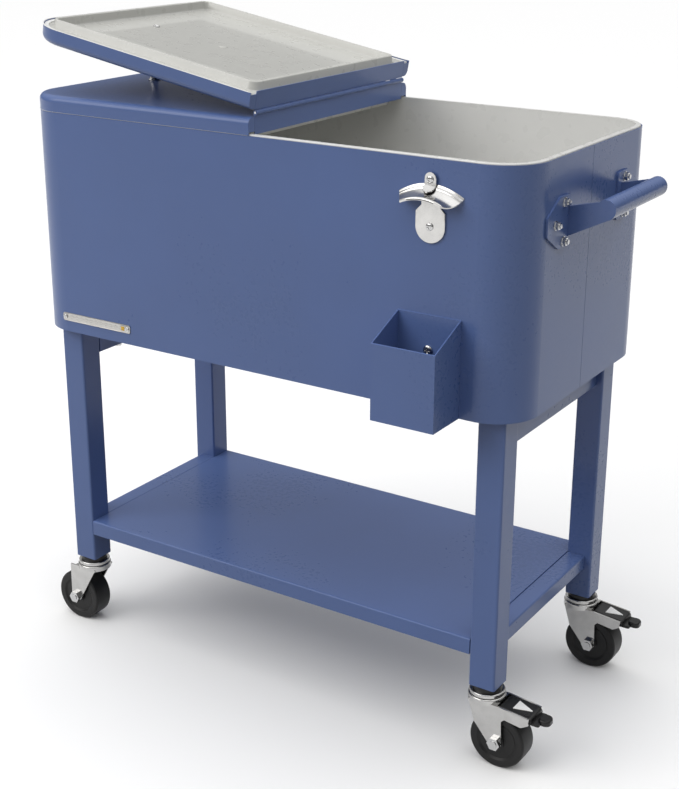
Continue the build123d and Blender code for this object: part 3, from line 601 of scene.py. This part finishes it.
def makeTrim(settings, low, high):
    # relief h = edge bead + lozenges |x|/a + |z|/b < 1 repeated along the plate
    halfLong, halfHigh = (high[0] - low[0]) / 2, (high[2] - low[2]) / 2
    middleX, middleZ, wallY = (high[0] + low[0]) / 2, (high[2] + low[2]) / 2, high[1]
    place = frontPlace(middleX, wallY, middleZ)
    outline = roundedBox(halfLong, halfHigh, settings["corner"])
    slab = roundedSlab(outline, settings["thick"], 0.0003, place, 3)
    patternEnd = settings["patternEnd"] - settings["patternGap"]
    patternTop = halfHigh - settings["edgeGap"]
    alongX = np.linspace(-halfLong + settings["screwRoom"], patternEnd, 380)[:, None]
    alongZ = np.linspace(-patternTop, patternTop, 34)[None, :]
    offset = (alongX / settings["motifPitch"] + 0.5) % 1 - 0.5
    alongMotif = abs(offset * settings["motifPitch"]) / settings["motifHalf"]
    lozenge = 1 - alongMotif - abs(alongZ) / (halfHigh * 0.62)
    ring = np.clip(lozenge * 4, 0, 1) - 0.8 * np.clip((lozenge - 0.42) * 4, 0, 1)
    border = np.clip((abs(alongZ) - halfHigh * 0.80) / (halfHigh * 0.05), 0, 1)
    rim = np.minimum(alongX - alongX[0], alongX[-1] - alongX) + 0 * alongZ
    height = settings["relief"] * np.maximum(ring, border) * np.clip(rim / settings["rimRamp"], 0, 1)
    x, z = np.broadcast_arrays(alongX, alongZ)
    faceY = wallY - settings["thick"] - settings["clear"]
    top = np.stack([middleX + x, faceY - height, middleZ + z], -1)
    under = np.stack([middleX + x, wallY - 0.5 * settings["thick"] + 0 * x, middleZ + z], -1)
    sheetPoints = np.concatenate([top.reshape(-1, 3), under.reshape(-1, 3)])
    rows, columns = x.shape
    total = rows * columns
    faces = gridFaces(rows, columns) + gridFaces(rows, columns, total)
    index = np.arange(total).reshape(rows, columns)
    edge = np.concatenate([index[:, 0], index[-1, 1:], index[-2::-1, -1], index[0, -2:0:-1]])
    after = np.roll(edge, -1)
    faces += np.stack([edge, after, after + total, edge + total], -1).tolist()
    points, faces = joinParts([slab, (sheetPoints, faces)])
    made = addPiece("trimPlateEmbossed", points, faces, finishes["trim_metal"], "cart", "trim_metal", 25)
    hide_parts("trim_plate")
    squarePlace = frontPlace(middleX + settings["squarePlace"], wallY - settings["thick"] + 0.0002, middleZ)
    square = roundedBox(settings["squareHalf"], settings["squareHalf"], 0.0006)
    points, faces = roundedSlab(square, 0.0007, 0.0002, squarePlace, 3)
    addPiece("trimAmberInlay", points, faces, amberEnamel, "cart", "trim_metal")


amberEnamel = mouldedPlastic("amberEnamel", (0.72, 0.42, 0.03), 0.25, 0.002, 0.00001)
trimLow, trimHigh = (np.array(corner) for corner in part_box("trim_plate"))
makeTrim(trim, trimLow, trimHigh)

# ---- brake covers

print("fitting the brake covers")
brakeCover = {
    "edgeDrop": 0.0052,
    "edgeSoft": 0.0030,
    "startDrop": 0.0016,
    "endDrop": 0.0062,
    "markBase": 0.0165,
    "markTip": 0.0400,
    "markHalf": 0.0105,
    "markHigh": 0.0013,
}


def makeBrakeCover(settings, corner):
    # a sloping sheet z = zStart - slope x whose long sides roll down over a quarter circle
    low, high = (np.array(end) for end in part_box("brake_plate_" + corner))
    middleY, half = (low[1] + high[1]) / 2, (high[1] - low[1]) / 2
    long = high[0] - low[0]
    startZ, endZ = high[2] - settings["startDrop"], high[2] - settings["endDrop"]
    soft, drop = settings["edgeSoft"], settings["edgeDrop"]
    turn = np.linspace(0, np.pi / 2, 6)
    side = np.concatenate([[half], half - soft + soft * np.cos(turn)])
    level = np.concatenate([[-drop], -soft + soft * np.sin(turn)])
    acrossY = np.concatenate([side, -side[::-1]])
    acrossZ = np.concatenate([level, level[::-1]])
    along = np.concatenate([[0, 0.02, 0.06], np.linspace(0.1, 0.94, 12), [0.97, 0.99, 1.0]])
    dip = np.concatenate([[0.0014, 0.0005, 0], np.zeros(12), [0.0006, 0.0016, 0.0030]])
    x = low[0] + long * along
    z = startZ + (endZ - startZ) * along - dip
    rings = np.stack([x[:, None] + 0 * acrossY, middleY + acrossY + 0 * x[:, None], z[:, None] + acrossZ], -1)
    points, faces = closedRings(rings)
    body = "fork_" + corner
    cover = addPiece("brakeCover_" + corner, points, faces, finishes["black_plastic"], body, "black_plastic")
    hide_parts("brake_plate_" + corner)
    # a raised triangle on the cover, narrowing towards the pedal
    base, tip, wide = settings["markBase"], settings["markTip"], settings["markHalf"]
    outline = np.array([(base, wide), (base, -wide), (tip, -0.0008), (tip, 0.0008)])
    slope = (endZ - startZ) / long
    layers = []
    for shrink, lift in ((1.0, -0.0004), (1.0, settings["markHigh"] * 0.6), (0.86, settings["markHigh"])):
        middle = outline.mean(0)
        ring = middle + (outline - middle) * shrink
        level = startZ + slope * ring[:, 0] + lift
        layers.append(np.stack([low[0] + ring[:, 0], middleY + ring[:, 1], level], -1))
    points, faces = closedRings(np.stack(layers))
    addPiece("brakeMark_" + corner, points, faces, finishes["seal_rubber"], body, "zinc_bolt", 20)


for brakedCorner in ("front_right", "back_right"):
    makeBrakeCover(brakeCover, brakedCorner)

# ---- inner pans of the lids

print("moulding the lid pans")
lidPan = {
    "flangeInset": 0.0013,
    "flangeEndCorner": 0.0580,
    "flangeHingeCorner": 0.0030,
    "flangeLevel": -0.0237,
    "flangeThick": 0.0014,
    "rimStart": 0.0095,
    "rimEndInset": 0.0225,
    "rimHalf": 0.1745,
    "rimCorner": 0.0150,
    "rimLevel": -0.0348,
    "rimWide": 0.0045,
    "rimDraft": 0.0025,
    "rimRound": 0.0014,
    "footRound": 0.0040,
    "hingeGap": 0.0024,
    "panThick": 0.0012,
    "footLevel": -0.0222,
    "footInset": 0.0090,
    "dishInset": 0.0470,
    "dishHalf": 0.1060,
    "dishCorner": 0.0090,
    "floorLevel": -0.0192,
    "dishNear": 0.0045,
    "gateRadius": 0.0060,
    "gateHigh": 0.0004,
    "gateSunk": 0.0003,
    # each strip: (inset from the skin, width, low level, top level)
    "seal": (0.0016, 0.0058, -0.0257, -0.0235),
    # the second strip is white: a painted highlight of the blue rolled hem at the skirt's edge
    "hem": (0.00005, 0.0015, -0.0275, -0.0268),
    "stripStart": 0.0034,
    "stripChamfer": 0.0003,
    "screwRadius": 0.0048,
    "screwHigh": 0.0022,
    "knobReach": 0.3180,
}


def lidOutline(start, end, half, startCorner, endCorner, steps=14):
    # rectangle from start to end along x, with quarter circles of their own radius at each end
    turn = np.linspace(0, np.pi / 2, steps)
    parts = []
    for quarter, (atEnd, sideY) in enumerate([(True, 1), (False, 1), (False, -1), (True, -1)]):
        corner = endCorner if atEnd else startCorner
        middleX = end - corner if atEnd else start + corner
        middleY = sideY * (half - corner)
        angle = turn + quarter * np.pi / 2
        parts.append(np.stack([middleX + corner * np.cos(angle), middleY + corner * np.sin(angle)], -1))
    return np.concatenate(parts)


def panRings(settings, length, depthHalf):
    # (outline, level) pairs from the hidden back, round the flange and the rim, down to the dished floor
    edge = settings["flangeInset"]
    flange = lidOutline(settings["hingeGap"], length - edge, depthHalf - edge,
                        settings["flangeHingeCorner"], settings["flangeEndCorner"])
    end = length - settings["rimEndInset"]

    def rim(inset):
        corner = max(settings["rimCorner"] - inset, 0.004)
        half = settings["rimHalf"] - inset
        return lidOutline(settings["rimStart"] + inset, end - inset, half, corner, corner)

    dishStart, dishEnd = settings["rimStart"] + settings["dishInset"], end - settings["dishInset"]
    dishCorner = settings["dishCorner"]
    dish = lidOutline(dishStart, dishEnd, settings["dishHalf"], dishCorner, dishCorner)
    level, crest, floor = settings["flangeLevel"], settings["rimLevel"], settings["floorLevel"]
    draft, wide, foot = settings["rimDraft"], settings["rimWide"], settings["footInset"]
    soft, footSoft = settings["rimRound"], settings["footRound"]
    back = floor + settings["panThick"]
    under = level + settings["flangeThick"]
    rings = [(rim(0.0005), back + 0.0004), (rim(0.0), back), (rim(0.0), under), (flange, under),
             (flange, level), (rim(-0.0012), level), (rim(0.0), level - 0.0004), (rim(0.0004), level - 0.0014),
             (rim(draft - 0.0003), crest + 0.0018)]
    # the rim's crest is rounded outside, then inside, and its inner foot sweeps into the shoulder
    for angle in np.linspace(0.3, np.pi / 2, 4):
        rings.append((rim(draft + soft * (1 - np.cos(angle))), crest + soft * (1 - np.sin(angle))))
    for angle in np.linspace(0, np.pi / 2 - 0.2, 4):
        rings.append((rim(draft + wide - soft * (1 - np.sin(angle))), crest + soft * (1 - np.cos(angle))))
    for angle in np.linspace(0.1, np.pi / 2, 6):
        rings.append((rim(foot - 0.0004 + footSoft * (1 - np.cos(angle))),
                      settings["footLevel"] - footSoft * (1 - np.sin(angle))))
    start = rim(foot + footSoft + 0.0010)
    for share in np.linspace(0.04, 1, 7):
        rings.append((start * (1 - share) + dish * share,
                      settings["footLevel"] + (floor - settings["footLevel"]) * share))
    middle = dish.mean(0)
    rings.append((middle + (dish - middle) * 0.985, floor + 0.0001))
    return rings


def makeLidPan(settings, side, place, length, depthHalf):
    rings = panRings(settings, length, depthHalf)
    points, faces = closedRings(np.stack([place(outline, level) for outline, level in rings]))
    body = "lid_" + side
    pan = addPiece("lidPan_" + side, points, faces, panPlastic, body, "liner_plastic")
    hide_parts(body + "_liner")
    # points on the dished floor are marked for a darker colour, painted shade of the dish floor
    shade = pan.data.attributes.new("dishShade", "FLOAT", "POINT")
    spots = np.empty(len(pan.data.vertices) * 3)
    pan.data.vertices.foreach_get("co", spots)
    inDish = place(rings[-2][0], settings["floorLevel"])
    near = np.linalg.norm(spots.reshape(-1, 1, 3) - inDish[None, :, :], axis=2).min(1) < settings["dishNear"]
    shade.data.foreach_set("value", near.astype(float))
    circle = np.linspace(0, 2 * np.pi, 40, endpoint=False)
    floor, sunk = settings["floorLevel"], settings["gateSunk"]

    def gatePlace(outline, height):
        return place(outline + (length * 0.5, 0), floor + sunk - height)

    def screwPlace(outline, height):
        return place(outline + (settings["knobReach"], 0), floor - height)

    gate = settings["gateRadius"] * np.stack([np.cos(circle), np.sin(circle)], -1)
    points, faces = roundedSlab(gate, settings["gateHigh"] + sunk, sunk, gatePlace, 3)
    addPiece("lidGateMark_" + side, points, faces, panPlastic, body, "liner_plastic")
    head = crossHead(settings["screwRadius"], settings["screwHigh"], screwPlace)
    screw = addPiece("lidScrewHead_" + side, *head, finishes["zinc_bolt"], body, "zinc_bolt")
    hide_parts(body + "_knob_screw")


def edgeStrip(settings, part, place, length, depthHalf):
    # a section of width x height carried round the front, the free end and the back
    inset, wide, low, top = settings[part]
    corner = settings["flangeEndCorner"]
    start, chamfer = settings["stripStart"], settings["stripChamfer"]
    outer = lidOutline(start, length - inset, depthHalf - inset, 0.0001, corner)
    inner = lidOutline(start, length - inset - wide, depthHalf - inset - wide, 0.0001, corner - wide)
    steps = len(outer) // 4
    order = np.concatenate([[3 * steps - 1], np.arange(3 * steps, 4 * steps), np.arange(steps), [steps]])
    middle = (outer + inner) / 2
    loops = [(outer, top), (outer, low + chamfer), (middle, low), (inner, low + chamfer), (inner, top)]
    return closedRings(np.stack([place(outline[order], level) for outline, level in loops], 1))


def makeLidSealAndPaintedHighlight(settings, side, place, length, depthHalf):
    # the soft seal inside the skirt, and a white strip along the skirt's edge that is a painted highlight of
    # the blue rolled hem
    strips = [edgeStrip(settings, part, place, length, depthHalf) for part in ("seal", "hem")]
    points, faces = joinParts(strips)
    seal = addPiece("lidSeal_" + side, points, faces, finishes["seal_rubber"], "lid_" + side, "seal_rubber")
    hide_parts("lid_" + side + "_gasket")


def lidPlace(pin, direction, tilt):
    # lid drawings run along x from the hinge pin; the folded one is turned back over the other by tilt
    def place(outline, level):
        level = np.broadcast_to(level, outline.shape[:1])
        x = outline[:, 0] * math.cos(tilt) - level * math.sin(tilt)
        z = outline[:, 0] * math.sin(tilt) + level * math.cos(tilt)
        return np.stack([pin[0] + direction * x, pin[1] + outline[:, 1], pin[2] + z], -1)
    return place


# the lid pans are a darker copy of the liner plastic (0.55 against 0.72): painted light, toning down the pans
# that face the overhead light
panPlastic = mouldedPlastic("lidPanPlastic", (0.55, 0.55, 0.52), 0.30, 0.006, 0.000004, "dishShade")
hinge = next(joint for joint in frame["record"]["behaviour"]["joints"] if joint["name"] == "right_lid_hinge")
tubLow, tubHigh = (np.array(corner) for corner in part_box("tub_skin"))
tubHalf = (tubHigh[1] - tubLow[1]) / 2
pinX = hinge["pos_m"][0]
folded = math.radians(hinge["range_deg"][1])
lidSides = (("left", -1, 0.0, pinX - tubLow[0]), ("right", 1, folded, tubHigh[0] - pinX))
for side, direction, tilt, reach in lidSides:
    lidSpot = lidPlace(hinge["pos_m"], direction, tilt)
    makeLidPan(lidPan, side, lidSpot, reach, tubHalf)
    makeLidSealAndPaintedHighlight(lidPan, side, lidSpot, reach, tubHalf)
